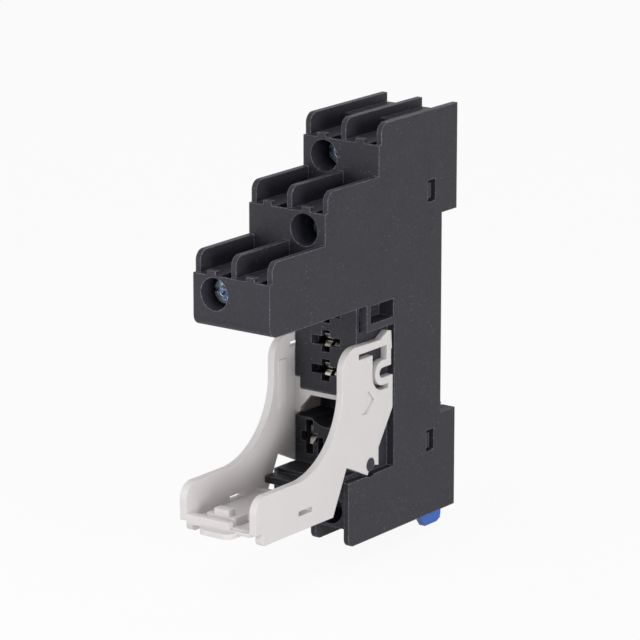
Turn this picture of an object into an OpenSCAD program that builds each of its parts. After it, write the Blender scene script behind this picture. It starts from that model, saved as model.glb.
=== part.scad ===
// Slim rail-mounted relay socket with stepped screw terminals and a hinged retaining clip.
// Frame: X across the width, -Y towards the front, +Z up, origin on the rail seat at its middle.
// Side profiles are drawn as [distance forward of the back plane, height above the body's base].

/* [Body] */
// Width of the body across its flat sides
body_w = 15.6; // [15.2:0.1:16.4]
// Thickness of the housing's rear side walls
wall = 1.2; // [1:0.1:1.4]
// Height of the coil terminal block below the relay bay
lower_h = 11.3; // [11:0.1:12.4]
// Clear height of the relay bay
bay_h = 29.7; // [29.2:0.1:31]
// Height of the lowest contact tier above the bay
low_tier_h = 8.95; // [8.7:0.05:10]
// Rise from one tier to the next
tier_rise = 8.85; // [8.75:0.05:10.5]
// Front of the top tier, forward of the back plane
top_tier_d = 22.9; // [22.7:0.1:24]
// Run from one tier's front to the next
tier_run = 15.1; // [14.6:0.05:16]
// Front of the coil terminal block
lower_d = 31.36; // [31:0.02:31.6]
// Front face of the plug block
plug_d = 27.2; // [27.1:0.1:27.6]
// Depth at which the side recess for the clip begins
recess_d = 18.3; // [17.9:0.1:18.4]
// Radius on the lowest tier's front lower edge
tier_edge_r = 1.8; // [1:0.1:2.4]

/* [Wire fins] */
// Thickness of each fin
fin_t = 1; // [0.8:0.1:1.3]
// Height of the fins above a tier
fin_h = 3.6; // [3:0.1:4.4]
// Distance of a fin's nose behind its tier's front
fin_setback = 0.7; // [0.4:0.1:1]
// Radius of a fin's nose
fin_r = 1.7; // [1:0.1:2]
// Height of the lower block's fins, which hang below its wire floor
low_fin_h = 3; // [2.4:0.1:3.1]
// Radius of the lower fins' nose
low_fin_r = 1.4; // [0.8:0.1:1.8]
// Depth of the top tier's raised rear floor
raised_d = 12.2; // [11:0.1:16]
// Width of the small stop on each channel's front edge
stop_w = 1.7; // [1.2:0.1:2]
// Height of that stop
stop_h = 0.75; // [0.5:0.05:1.2]
// Length of the shallow notch beside each stop
notch_l = 5.2; // [3:0.1:5.6]

/* [Rail] */
// Height of the rail recess, for a 35 mm rail
rail_gap = 35.4; // [35.2:0.1:36]
// Depth of the rail recess
rail_d = 4.4; // [4.2:0.1:5]
// Height of the recess's lower edge above the base
rail_z = 17.5; // [17.2:0.1:18.4]
// Overlap of each hook on the rail's edge
hook_lip = 1.5; // [1.2:0.1:1.8]
// Gap behind each hook for the rail's flange
flange_gap = 1.3; // [1.1:0.1:1.6]
// Width of the hooks and of the rail clip
hook_w = 10; // [9:0.2:10.4]
// How far the rail clip's foot stands out below the base
foot_h = 3.5; // [2.8:0.1:4]
// Travel of the rail clip
rail_clip_travel = 2.5; // [2:0.1:2.6]

/* [Screw terminals] */
// Distance of each screw's axis from the body's side
screw_inset = 4.3; // [4.2:0.05:4.4]
// Distance of a screw below its tier's top edge
screw_drop = 3.1; // [3.05:0.05:3.3]
// Diameter of the screwdriver hole
driver_hole_dia = 5.5; // [5.2:0.1:5.6]
// Diameter of a screw head
head_dia = 4.8; // [4.4:0.1:5]
// Thickness of a screw head
head_t = 1.8; // [1.5:0.1:2]
// Depth of the top tier's screw head behind its front face
upper_head_depth = 4.2; // [3.4:0.1:4.2]
// Depth of the lowest tier's screw head behind its front face
lower_head_depth = 2.8; // [2.6:0.1:3.4]
// Depth of the other screw heads behind their front faces
head_depth = 5.2; // [4.6:0.1:5.4]
// Diameter of a screw's shank
shank_dia = 2.9; // [2.6:0.1:3]
// Radial running clearance of the shank in its cage
shank_fit = 0.05; // [0.03:0.01:0.1]
// Travel of a clamp cage
cage_travel = 1.8; // [1.5:0.1:1.9]
// Width of a clamp cage
cage_w = 4.2; // [4:0.1:4.3]
// Length of a clamp cage along its screw
cage_l = 4.9; // [4.8:0.1:5]
// Height of a clamp cage
cage_h = 4.2; // [3.8:0.1:4.3]

/* [Plug contacts] */
// Pitch of the three contact openings
contact_pitch = 5.08; // [5:0.02:5.12]
// Distance of the top contact opening below the bay's top
contact_drop = 2; // [1.95:0.05:2.2]
// Length of a contact opening's long arm
contact_arm = 6; // [5.6:0.1:6.2]
// Width of a contact opening's long arm
contact_slot = 1.5; // [1.3:0.1:1.7]
// Length of a contact opening's cross arm
contact_cross = 3.8; // [3.4:0.1:3.8]
// Width of a contact opening's cross arm
contact_cross_w = 1.7; // [1.4:0.1:1.9]
// Distance of each coil opening from the middle
coil_x = 3.4; // [3.3:0.05:3.5]
// Height of the coil openings above the lower block
coil_rise = 5.3; // [5.2:0.05:5.4]
// Length of a coil opening's upright arm
coil_arm = 6; // [5.4:0.1:6.1]
// Thickness of the conductor strips
strip_t = 0.8; // [0.6:0.1:0.9]
// Width of the conductor strips
strip_w = 2.8; // [2.4:0.1:2.8]
// Thickness of the spring leaves
leaf_t = 0.35; // [0.3:0.05:0.4]

/* [Retaining clip] */
// Thickness of the clip's side walls
clip_t = 1.3; // [1.1:0.05:1.3]
// Diameter of the pivot pins
pivot_dia = 2.3; // [2:0.1:2.4]
// Radial running clearance of the clip on its pins
pivot_fit = 0.06; // [0.03:0.01:0.1]
// Distance of the pivot forward of the back plane
pivot_d = 25.05; // [24.9:0.05:25.2]
// Height of the pivot above the lower block
pivot_rise = 1.85; // [1.8:0.05:1.95]
// Front of the clip's closed side walls
clip_front_d = 57.1; // [56.6:0.1:57.8]
// Front edge of the clip's upright part
clip_upright_d = 33; // [32.7:0.1:33.4]
// Height of the clip's upright part above the lower block
clip_upright_h = 23.2; // [23:0.1:23.4]
// Radius of the sweep between the clip's upright and its arm
clip_sweep_r = 13.2; // [11:0.2:13.6]
// Height of the arm's top above the lower block
clip_arm_h = 3.7; // [3.5:0.1:4.2]
// Drop of the clip's floor below the lower block's top
clip_drop = 3.1; // [2.9:0.1:3.3]
// Width of the flexure's bar
flexure_w = 1.25; // [1.1:0.05:1.3]
// Width of the cut that frees the flexure
flexure_gap = 0.8; // [0.7:0.05:0.9]
// Thickness of the clip's floor
clip_floor_t = 0.9; // [0.8:0.1:1.1]

/* [Clearances] */
// Gap between the clip's walls and the body
side_gap = 0.15; // [0.1:0.01:0.2]
// Gap between parts that slide on each other
slide_gap = 0.15; // [0.1:0.01:0.2]
// Gap round parts that are dropped into a pocket
pocket_gap = 0.1; // [0.05:0.01:0.15]

/* [Hidden] */
$fn = 48;

half_w = body_w / 2;
bay_half = half_w - clip_t - side_gap;
screw_x = half_w - screw_inset;
bay_top = lower_h + bay_h;
// Tops and fronts of the tiers, from the top one down
tier_top = [for (i = [0:2]) bay_top + low_tier_h + (2 - i) * tier_rise];
tier_front = [for (i = [0:2]) top_tier_d + i * tier_run];
body_h = tier_top[0] + fin_h;
rail_mid_z = rail_z + rail_gap / 2;
fin_x = [-half_w + fin_t / 2, 0, half_w - fin_t / 2];
nudge = 0.01;

// Depths measured back from a terminal's front face
shoulder_t = 1.1;
cage_front_wall = 1;
cage_wall = 0.6;
function head_seat(t) = t[4] + head_t + pocket_gap;
function cage_open(t) = head_seat(t) + shoulder_t + cage_travel + pocket_gap;
function tongue_depth(t) = cage_open(t) + cage_front_wall + 0.4;
function shank_end(t) = tongue_depth(t) - 0.15;

// Heights and depths inside the housing
cavity_d = 8.8;
hollow_d = 16;
hollow_half = 5.7;
passage_h = cage_h + strip_t + 0.5;
passage_w = cage_w + 0.4;
low_screw_z = low_fin_h + screw_drop + 0.1;

// Each terminal: side of the middle, height, front face, which way its strip leaves, depth of its head
TERMINALS = [
    [-1, tier_top[0] - screw_drop, tier_front[0], -1, upper_head_depth],
    [1, tier_top[1] - screw_drop, tier_front[1], -1, head_depth],
    [-1, tier_top[2] - screw_drop, tier_front[2], -1, lower_head_depth],
    [-1, low_screw_z, lower_d, 1, head_depth],
    [1, low_screw_z, lower_d, 1, head_depth]];

// Plug openings from the top one down, and the coil's height
contact_z = [for (i = [0:2]) bay_top - contact_drop - i * contact_pitch];
coil_z = lower_h + coil_rise;
block_bottom = contact_z[2] - contact_cross / 2 - 1.95;
coil_block_top = coil_z + coil_arm / 2 + 0.4;
slot_back_d = 20;
face_t = 1;

// The clip's own frame of heights
pivot_z = lower_h + pivot_rise;
clip_in = half_w - clip_t;
clip_top = lower_h + clip_upright_h;
arm_top = lower_h + clip_arm_h;
floor_z = lower_h - clip_drop;
floor_top = floor_z + clip_floor_t;

// Places a part's own heights and depths in the frame of the rail seat
module seated() {
    translate([0, rail_d, -rail_mid_z]) children();
}

// Extrudes a side profile of [forward, up] from one width to another
module slab(x0, x1) {
    translate([x0, 0, 0]) rotate([90, 0, 90]) linear_extrude(x1 - x0) mirror([1, 0]) children();
}

// A block between two widths, two depths and two heights
module block(x0, x1, d0, d1, z0, z1) {
    translate([x0, -d1, z0]) cube([x1 - x0, d1 - d0, z1 - z0]);
}

// A round bar or bore along the depth
module round_d(x, z, d0, d1, dia) {
    translate([x, -d0, z]) rotate([90, 0, 0]) cylinder(d = dia, h = d1 - d0);
}

// A round bar or bore along the width
module round_x(x0, x1, d, z, dia) {
    translate([x0, -d, z]) rotate([0, 90, 0]) cylinder(d = dia, h = x1 - x0);
}

// The same shape on both sides of the middle
module both_sides() {
    children();
    mirror([1, 0, 0]) children();
}

// Profile of a block whose front upper corner is round
module nosed(len, z0, z1, r) {
    translate([0, z0]) square([len - r, z1 - z0]);
    translate([0, z0]) square([len, z1 - z0 - r]);
    translate([len - r, z1 - r]) circle(r);
}

// Stair of the three tiers without their fins
module tier_profile() {
    for (i = [0:1]) translate([0, bay_top]) square([tier_front[i], tier_top[i] - bay_top]);
    difference() {
        translate([0, bay_top]) square([tier_front[2], tier_top[2] - bay_top]);
        translate([tier_front[2] - tier_edge_r, bay_top]) difference() {
            translate([0, -nudge]) square([tier_edge_r + nudge, tier_edge_r + nudge]);
            translate([0, tier_edge_r]) circle(tier_edge_r);
        }
    }
}

// Stair of one fin with its round noses
module fin_profile() {
    for (i = [0:2]) nosed(tier_front[i] - fin_setback, bay_top + tier_edge_r, tier_top[i] + fin_h, fin_r);
}

// One lower fin, its nose turned down
module low_fin_profile(front) {
    translate([0, lower_h]) mirror([0, 1]) nosed(front, 0, lower_h, low_fin_r);
}

// The terminal tiers: stair, fins, raised rear floor and the stops on the channels' front edges
module tiers() {
    raised_floor = tier_top[0] + 0.55 * fin_h;
    slab(-half_w, half_w) tier_profile();
    block(-half_w, half_w, 0, raised_d, bay_top, raised_floor);
    for (x = fin_x) slab(x - fin_t / 2, x + fin_t / 2) fin_profile();
    for (i = [0:2], side = [0, 1]) {
        x = (side - 1) * half_w + fin_t + 1.9 + side * 0.1;
        block(x, x + stop_w, tier_front[i] - 1.1, tier_front[i], tier_top[i] - nudge, tier_top[i] + stop_h);
    }
}

// Front pockets beside the stops, and the wire entries that open into the clamp cages
module tier_cuts() {
    for (i = [0:2], side = [0, 1]) {
        x0 = (side - 1) * half_w + fin_t + 1.9 + side * 0.1 + stop_w + 0.5;
        x1 = side * (half_w - fin_t / 2) - fin_t / 2;
        block(x0, x1, tier_front[i] - notch_l, tier_front[i] - 0.35, tier_top[i] - 0.9, tier_top[i] + 1);
    }
    for (t = [0:2]) wire_entry(TERMINALS[t], TERMINALS[t][1], tier_top[t] + fin_h);
    for (t = [3:4]) wire_entry(TERMINALS[t], -1, TERMINALS[t][1]);
}

// The shaft down which a bared wire reaches one clamp cage
module wire_entry(t, z0, z1) {
    back = t[2] - cage_open(t) - cage_l + cage_wall;
    x = t[0] * screw_x;
    block(x - 1.4, x + 1.4, back, back + 2.6, z0, z1);
}

// The lower terminal block with its three hanging fins
module lower_block() {
    block(-half_w, half_w, 0, lower_d - 0.4, low_fin_h, lower_h);
    block(-half_w, half_w, 0, cavity_d + 2, 0, low_fin_h);
    for (x = fin_x) {
        front = lower_d - (x == 0 ? 0.6 : 0);
        slab(x - fin_t / 2, x + fin_t / 2) low_fin_profile(front);
    }
}

// The narrow middle of the body: plug block, coil block and the shelf under the relay
module bay_body() {
    block(-half_w, half_w, 0, recess_d, lower_h - nudge, bay_top + nudge);
    block(-bay_half, bay_half, 0, plug_d, block_bottom, bay_top + nudge);
    block(-bay_half, bay_half, 0, slot_back_d, lower_h - nudge, bay_top);
    difference() {
        block(-bay_half, bay_half, 0, plug_d, lower_h - nudge, coil_block_top);
        coil_block_arch();
        both_sides() block(0.5, 1.6, plug_d - 1.5, plug_d + 1, lower_h + 0.6, coil_z + 0.2);
    }
    block(-bay_half + 0.05, bay_half - 0.05, lower_d - 2, lower_d + 4.5, lower_h - 1.2, lower_h);
    block(-bay_half + 0.05, bay_half - 0.05, plug_d - 2, lower_d + 1.2, lower_h - 1, lower_h + 0.7);
}

// The hollow in the coil block's top edge
module coil_block_arch() {
    arch_w = 5.8;
    arch_h = 1.2;
    arch_r = (arch_w * arch_w / 4 + arch_h * arch_h) / (2 * arch_h);
    round_d(0, coil_block_top - arch_h + arch_r, slot_back_d - 1, plug_d + 1, 2 * arch_r);
}

// Keepers in the recess's upper corners, under which the clip's barbs sit
module keepers() {
    both_sides() difference() {
        block(bay_half - 0.5, half_w, recess_d - 1, recess_d + 7.9, keeper_z, bay_top + nudge);
        block(bay_half - 0.4, half_w + 1, recess_d + 0.3, recess_d + 6.9, keeper_z + 1.25, bay_top - 0.3);
    }
}
barb_reach = sqrt(pow(pivot_d - 20.1, 2) + pow(clip_top + 1 - pivot_z, 2));
keeper_z = pivot_z + barb_reach + 0.3;

// Pockets behind the keepers and in front of them, and the notches for the clip's inner ribs
module bay_cuts() {
    both_sides() {
        block(4.8, half_w - 1, recess_d + 0.3, recess_d + 6.9, keeper_z + 1.25, bay_top - 0.3);
        block(4.8, bay_half + 0.01, recess_d + 6, recess_d + 8.2, keeper_z - 0.2, bay_top - 0.01);
        block(bay_half - 1, bay_half + 1, plug_d - 1.6, plug_d + 1, block_bottom - 1, block_bottom + 2);
        round_x(bay_half, half_w + 1, pivot_d, pivot_z, 2 * (tip_reach + 0.3));
    }
}
tip_reach = sqrt(pow(0.85, 2) + pow(pivot_rise - 0.15, 2));

// Screwdriver hole, head pocket, shank hole and clamp passage of one terminal
module terminal_cut(t) {
    x = t[0] * screw_x;
    z = t[1];
    front = t[2];
    pass_front = front - head_seat(t) - shoulder_t;
    round_d(x, z, front - head_seat(t), front + 1, driver_hole_dia);
    round_d(x, z, pass_front - 1, front - head_seat(t) + 1, shank_dia + 0.5);
    passage_z0 = z - passage_h / 2 + t[3] * (strip_t + 0.2) / 2;
    block(x - passage_w / 2, x + passage_w / 2, cavity_d - 1, pass_front, passage_z0, passage_z0 + passage_h);
}

// One cross-shaped plug opening and the pocket behind it
module plug_opening(x, z, arm_x, arm_z, bar_x, bar_z) {
    front_wall = plug_d - face_t;
    block(x - arm_x / 2, x + arm_x / 2, front_wall - 1, plug_d + 1, z - bar_z / 2, z + bar_z / 2);
    block(x - bar_x / 2, x + bar_x / 2, front_wall - 1, plug_d + 1, z - arm_z / 2, z + arm_z / 2);
}

// The three contact openings in the plug block, with their chambers
module contact_cuts() {
    for (z = contact_z) {
        plug_opening(0, z, contact_arm, contact_cross, contact_cross_w, contact_slot);
        block(-2.9, 2.9, hollow_d - 1, plug_d - face_t, z - contact_cross / 2, z + contact_cross / 2);
    }
}

// The two coil openings, their chambers and the slots down to the coil terminals
module coil_cuts() {
    for (side = [-1, 1]) {
        x = side * coil_x;
        plug_opening(x, coil_z, 3.5, coil_arm, contact_slot, 1.7);
        block(x - 1.65, x + 1.65, hollow_d - 1, plug_d - face_t, coil_z - coil_half, coil_z + coil_half);
        block(x - 1.65, x + 1.65, hollow_d - 1, coil_tongue_d + strip_t + pocket_gap, low_screw_z, coil_z);
    }
}
coil_tongue_d = lower_d - tongue_depth(TERMINALS[3]) - strip_t;
coil_half = coil_arm / 2 - 0.5;

// The rear cavity, the hollow behind the plug block and the rail recess
module rear_cuts() {
    block(-half_w + wall, half_w - wall, -1, cavity_d, 1.6, tier_top[0] + 0.4);
    block(-hollow_half, hollow_half, cavity_d - 1, hollow_d, lower_h + 0.6, tier_top[0] - 0.9);
    block(-half_w - 1, half_w + 1, -1, rail_d, rail_z, rail_z + rail_gap);
    block(-hook_w / 2 - 0.3, hook_w / 2 + 0.3, -1, cavity_d - 0.3, -1, 2);
    for (z = snap_z) both_sides() block(half_w - wall - 1, half_w + 1, snap_d, snap_d + 2.2, z - 1.9, z + 1.9);
}
snap_z = [rail_z - 4.2, rail_z + rail_gap + 4.4];
snap_d = 6.4;

// Black moulded housing
module housing() {
    color([0.24, 0.24, 0.26]) seated() {
        difference() {
            union() {
                tiers();
                lower_block();
                bay_body();
                keepers();
            }
            tier_cuts();
            bay_cuts();
            rear_cuts();
            contact_cuts();
            coil_cuts();
            for (t = TERMINALS) terminal_cut(t);
        }
        both_sides() round_x(bay_half - 0.6, half_w, pivot_d, pivot_z, pivot_dia);
    }
}

// Snap-in rear cover: two legs round the rail recess, the fixed hook and the rail clip's channel
module rear_cover() {
    cover_half = half_w - wall - pocket_gap;
    cover_front = cavity_d - 0.2;
    cover_z0 = 1.6 + pocket_gap;
    cover_z1 = tier_top[0] + 0.4 - pocket_gap;
    rail_top = rail_z + rail_gap;
    color([0.2, 0.2, 0.22]) seated() {
        difference() {
            union() {
                block(-cover_half, cover_half, 0, cover_front, cover_z0, rail_z);
                block(-cover_half, cover_half, rail_d, cover_front, rail_z - nudge, rail_top + nudge);
                block(-cover_half, cover_half, 0, cover_front, rail_top, cover_z1);
            }
            // Hollows that keep the walls even
            block(-cover_half + 1.3, cover_half - 1.3, 1.4, cover_front + 1, rail_top + 1.5, cover_z1 - 1.5);
            block(-cover_half + 1.3, cover_half - 1.3, rail_d + 1.4, cover_front + 1, rail_z + 2, rail_top - 1);
            block(-cover_half + 1.3, cover_half - 1.3, rail_d + 1.2, cover_front + 1, cover_z0 + 1.3, rail_z + 0.5);
            // Channel in which the rail clip slides, open to the back, the base and the recess
            block(-hook_w / 2 - slide_gap, hook_w / 2 + slide_gap, -1, clip_plate_t + slide_gap, -1, rail_z + 1);
            block(-clip_flange_half - slide_gap, clip_flange_half + slide_gap, 0.9, clip_plate_t + slide_gap,
                -1, rail_z - 1.2);
            block(-hook_w / 2 - slide_gap, hook_w / 2 + slide_gap, -1, rail_d, -1, cover_z0 + 3);
        }
        // Fixed hook over the rail's upper edge
        slab(-hook_w / 2, hook_w / 2) polygon([[0, rail_top + nudge], [0, rail_top - 0.5],
            [0.8, rail_top - hook_lip], [rail_d - flange_gap, rail_top - hook_lip],
            [rail_d - flange_gap, rail_top + nudge]]);
        // Post that stops the rail clip's travel
        block(-0.9, 0.9, 0.4, clip_plate_t + 0.3, post_z, post_z + 1.8);
        // Snap teeth in the housing's windows
        for (z = snap_z) both_sides() translate([0, 0, z - 1.3]) linear_extrude(2.6)
            polygon([[cover_half - 0.5, -snap_d - 2.1], [half_w - 0.3, -snap_d - 1.9],
                [half_w - 0.3, -snap_d - 0.9], [cover_half - 0.5, -snap_d - 0.9]]);
    }
}
clip_plate_t = rail_d - flange_gap;
foot_rib = 1.2;
clip_flange_half = hook_w / 2 + 0.7;
post_z = 5.2;

// Blue sliding rail clip: lip, plate with a travel window and two spring tongues, and a pull foot
module rail_clip() {
    half = hook_w / 2;
    lip_z = rail_z + hook_lip;
    window_z0 = post_z - 2.6;
    window_z1 = post_z + 1.8 + rail_clip_travel + 0.3;
    color([0.12, 0.3, 0.75]) seated() {
        difference() {
            union() {
                slab(-half, half) polygon([[0.15, 0], [0.15, lip_z - 1.1], [0.9, lip_z], [clip_plate_t, lip_z],
                    [clip_plate_t, 0]]);
                block(-clip_flange_half, clip_flange_half, 0.9 + slide_gap, clip_plate_t,
                    1.6 + rail_clip_travel + slide_gap, rail_z - 1.2 - slide_gap);
                both_sides() slab(half - foot_rib, half) foot_profile();
                block(-half, half, 0.15, 2, -foot_h + 0.4, nudge);
            }
            block(-2.6, 2.6, -1, clip_plate_t + 1, window_z0, window_z1);
        }
        both_sides() block(1.3, 2.1, 0.6, clip_plate_t - 0.4, window_z0 - nudge, window_z1 - 1.2);
    }
}

// Foot below the base, with its sloping front and round rear corner
module foot_profile() {
    corner_r = 1.5;
    slope_run = 0.76 * foot_h;
    front = 7.4;
    translate([corner_r, corner_r - foot_h]) circle(corner_r);
    polygon([[0, nudge], [0, corner_r - foot_h], [corner_r, corner_r - foot_h], [corner_r, -foot_h],
        [front - slope_run, -foot_h], [front, 0], [rail_d - 0.3, 0], [rail_d - 0.3, nudge]]);
}

// Clamp screw with a cross and slot drive, its axis on the terminal's hole
module clamp_screw(t) {
    x = t[0] * screw_x;
    z = t[1];
    top = t[2] - t[4];
    drive_d = 1.1;
    color([0.62, 0.68, 0.76]) seated() {
        difference() {
            round_d(x, z, top - head_t, top, head_dia);
            block(x - head_dia / 2 - 1, x + head_dia / 2 + 1, top - 0.6, top + 1, z - 0.32, z + 0.32);
            block(x - 1.45, x + 1.45, top - drive_d, top + 1, z - 0.4, z + 0.4);
            block(x - 0.4, x + 0.4, top - drive_d, top + 1, z - 1.45, z + 1.45);
        }
        round_d(x, z, t[2] - shank_end(t), top - head_t + nudge, shank_dia);
    }
}

// Rising clamp cage: a four-sided frame with the screw's threaded wall in front
module clamp_cage(t) {
    x = t[0] * screw_x;
    z = t[1];
    front = t[2] - cage_open(t);
    half = cage_w / 2;
    color([0.72, 0.74, 0.76]) seated() difference() {
        block(x - half, x + half, front - cage_l, front, z - cage_h / 2, z + cage_h / 2);
        block(x - half + cage_wall, x + half - cage_wall, front - cage_l + cage_wall, front - cage_front_wall,
            z - cage_h, z + cage_h);
        round_d(x, z, front - cage_front_wall - 1, front + 1, shank_dia + 2 * shank_fit);
    }
}

// Tongue of a strip inside its cage, and the bend that carries it to a height
module tongue(t, z_end) {
    x = t[0] * screw_x;
    d = t[2] - tongue_depth(t) - strip_t;
    z0 = min(t[1] - t[3] * 2, z_end);
    z1 = max(t[1] - t[3] * 2, z_end);
    block(x - strip_w / 2, x + strip_w / 2, d, d + strip_t, z0, z1);
}

// Foot of a strip on the plug block's rear, from its own side to the far side of a fork
module strip_foot(side, z) {
    x_out = side * (screw_x + strip_w / 2);
    x_in = -side * 2;
    d = hollow_d - pocket_gap - strip_t;
    block(min(x_out, x_in), max(x_out, x_in), d, d + strip_t, z - 1.1, z + 1.1);
}

// Strip from the top tier straight down to the lowest contact row
module strip_upper() {
    t = TERMINALS[0];
    d = t[2] - tongue_depth(t) - strip_t;
    x = t[0] * screw_x;
    z = contact_z[2];
    color([0.78, 0.66, 0.42]) seated() {
        tongue(t, z - 1.1);
        block(x - strip_w / 2, x + strip_w / 2, d, hollow_d - pocket_gap, z - 1.1, z - 1.1 + strip_t);
        strip_foot(t[0], z);
    }
}

// Strip that runs back along its passage and then down to a contact row
module stepped_strip(t, z) {
    x = t[0] * screw_x;
    run_z = t[1] - cage_h / 2 - 0.2 - strip_t;
    d = t[2] - tongue_depth(t) - strip_t;
    back = hollow_d - pocket_gap - strip_t;
    color([0.78, 0.66, 0.42]) seated() {
        tongue(t, run_z);
        block(x - strip_w / 2, x + strip_w / 2, back, d + strip_t, run_z, run_z + strip_t);
        block(x - strip_w / 2, x + strip_w / 2, back, back + strip_t, z - 1.1, run_z + strip_t);
        strip_foot(t[0], z);
    }
}

// Strip from a coil terminal up to its fork
module coil_strip(t) {
    color([0.78, 0.66, 0.42]) seated() tongue(t, coil_z + 1.2);
}

// Profile of one spring leaf that closes on the blade and flares at its mouth
module leaf_profile(d0, d1) {
    grip = d1 - 1.3;
    polygon([[d0, 1.35], [d0 + 2, 1.35], [grip, 0.25], [d1, 0.95], [d1, 0.95 + leaf_t],
        [grip, 0.25 + leaf_t], [d0 + 2, 1.35 + leaf_t], [d0, 1.35 + leaf_t]]);
}

// Fork contact for a level blade: two leaves above and below it, with a side leaf
module fork_contact(z) {
    d0 = hollow_d - pocket_gap;
    d1 = plug_d - face_t - 0.1;
    color([0.8, 0.8, 0.78]) seated() {
        translate([0, 0, z]) {
            slab(-0.75, 0.75) leaf_profile(d0, d1);
            slab(-0.75, 0.75) mirror([0, 1]) leaf_profile(d0, d1);
            slab(1.2, 2.6) mirror([0, 1]) leaf_profile(d0, d1);
            block(-2, 2.6, d0, d0 + leaf_t, -1.7, 1.7);
        }
    }
}

// Fork contact of the coil, standing on its own strip
module coil_fork(side) {
    d0 = coil_tongue_d + strip_t;
    d1 = plug_d - face_t - 0.1;
    color([0.8, 0.8, 0.78]) seated() translate([side * coil_x, 0, coil_z]) {
        slab(-0.75, 0.75) leaf_profile(d0, d1);
        slab(-0.75, 0.75) mirror([0, 1]) leaf_profile(d0, d1);
        block(-1.5, 1.5, d0, d0 + leaf_t, -1.7, 1.7);
    }
}

// Side wall of the retaining clip without the flexure's cuts
module clip_outline() {
    edge = clip_upright_d;
    nose_r = 2.7;
    crown_r = 3.7;
    foot_r = 0.8;
    foot_d = clip_front_d - 1.65;
    foot_z = floor_z - 1.65;
    polygon([[lower_d + 4.4, foot_z], [lower_d + 0.55, pivot_z + 1.1], [pivot_d + 2.5, pivot_z - 0.9],
        [pivot_d + 0.85, pivot_z - pivot_rise + 0.15], [pivot_d, pivot_z], [pivot_d - 2.3, pivot_z - 0.6],
        [pivot_d - 2.3, pivot_z + 2.5], [recess_d + 0.4, lower_h + 10.5], [recess_d + 0.4, spring_z],
        [recess_d + 0.9, clip_top + 0.8], [20.1, clip_top + 1], [22.3, clip_top - 0.2],
        [edge - crown_r, clip_top], [edge, clip_top - crown_r], [edge, arm_top],
        [clip_front_d - nose_r, arm_top], [clip_front_d, arm_top - nose_r], [clip_front_d, floor_z + 0.6],
        [foot_d, floor_z + 0.6], [foot_d, foot_z + foot_r], [foot_d - foot_r, foot_z]]);
    translate([edge - crown_r, clip_top - crown_r]) circle(crown_r);
    translate([clip_front_d - nose_r, arm_top - nose_r]) circle(nose_r);
    translate([foot_d - foot_r, foot_z + foot_r]) circle(foot_r);
    difference() {
        translate([edge - nudge, arm_top - nudge]) square(clip_sweep_r);
        translate([edge + clip_sweep_r, arm_top + clip_sweep_r]) circle(clip_sweep_r + 0.03, $fn = 96);
    }
}

// Middle of the flexure's bend, and its radii
spring_d = 21.6;
spring_z = clip_top - 6.05;
bend_out = 2.15;
bend_in = bend_out - flexure_w;

// Everything cut away round the flexure
module flexure_cut() {
    free_r = bend_out + flexure_gap;
    window_front = clip_upright_d - 4.5;
    translate([spring_d, spring_z]) circle(free_r);
    translate([recess_d - 1, spring_z]) square([spring_d + free_r - recess_d + 1, 3.7]);
    translate([recess_d - 1, spring_z - free_r]) square([spring_d - recess_d + 1, 2 * free_r]);
    translate([spring_d - 1.2, spring_z + 3.65]) square([window_front - spring_d + 1.2, 0.95]);
}

// The flexure itself: root, bend and the upright bar that carries the barb
module flexure() {
    bar_d = recess_d + 0.9;
    root_w = 1.25;
    difference() {
        translate([spring_d, spring_z]) circle(bend_out);
        translate([spring_d, spring_z]) circle(bend_in);
        translate([spring_d - 2 * bend_out, spring_z - 2 * bend_out]) square([2 * bend_out, 4 * bend_out]);
    }
    translate([bar_d, spring_z + bend_in]) square([spring_d - bar_d, flexure_w]);
    translate([recess_d + 0.4, spring_z - bend_out]) square([spring_d - recess_d - 0.4, flexure_w]);
    translate([recess_d + 0.4, spring_z - bend_out - 2]) square([root_w, 2 + flexure_w]);
    translate([bar_d, spring_z + bend_in]) square([flexure_w, clip_top + 0.8 - spring_z - bend_in]);
}

// Finished side wall of the clip in profile
module clip_wall_profile() {
    difference() {
        union() {
            difference() {
                clip_outline();
                flexure_cut();
            }
            flexure();
        }
        translate([pivot_d, pivot_z]) circle(pivot_dia / 2 + pivot_fit);
        translate([pivot_d - 1.0, pivot_z - 4]) square([1.35, 4]);
        translate([lower_d + 10.3, floor_top + 0.05]) square([3.7, 0.85]);
    }
}

// Arched bridge between the clip's walls that pushes the relay out when the clip swings
module ejector_bridge() {
    bar_top = block_bottom - 0.25;
    rib_z0 = coil_block_top + 1.05;
    rib_w = clip_in - bay_half + 0.95;
    back = plug_d - 1.2;
    front = plug_d - 0.15;
    gusset = 2.6;
    block(-clip_in - nudge, clip_in + nudge, back, front, bar_top - 0.8, bar_top);
    both_sides() {
        block(bay_half - 0.95, clip_in + nudge, back, front, rib_z0, block_bottom + 1.8);
        round_d(clip_in - rib_w / 2, rib_z0, back, front, rib_w);
        translate([0, -back, 0]) rotate([90, 0, 0]) linear_extrude(front - back)
            polygon([[bay_half - 0.9, rib_z0 + 0.3], [bay_half - 0.9, bar_top - 0.4],
                [bay_half - 0.9 - gusset, bar_top - 0.4]]);
    }
}

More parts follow.
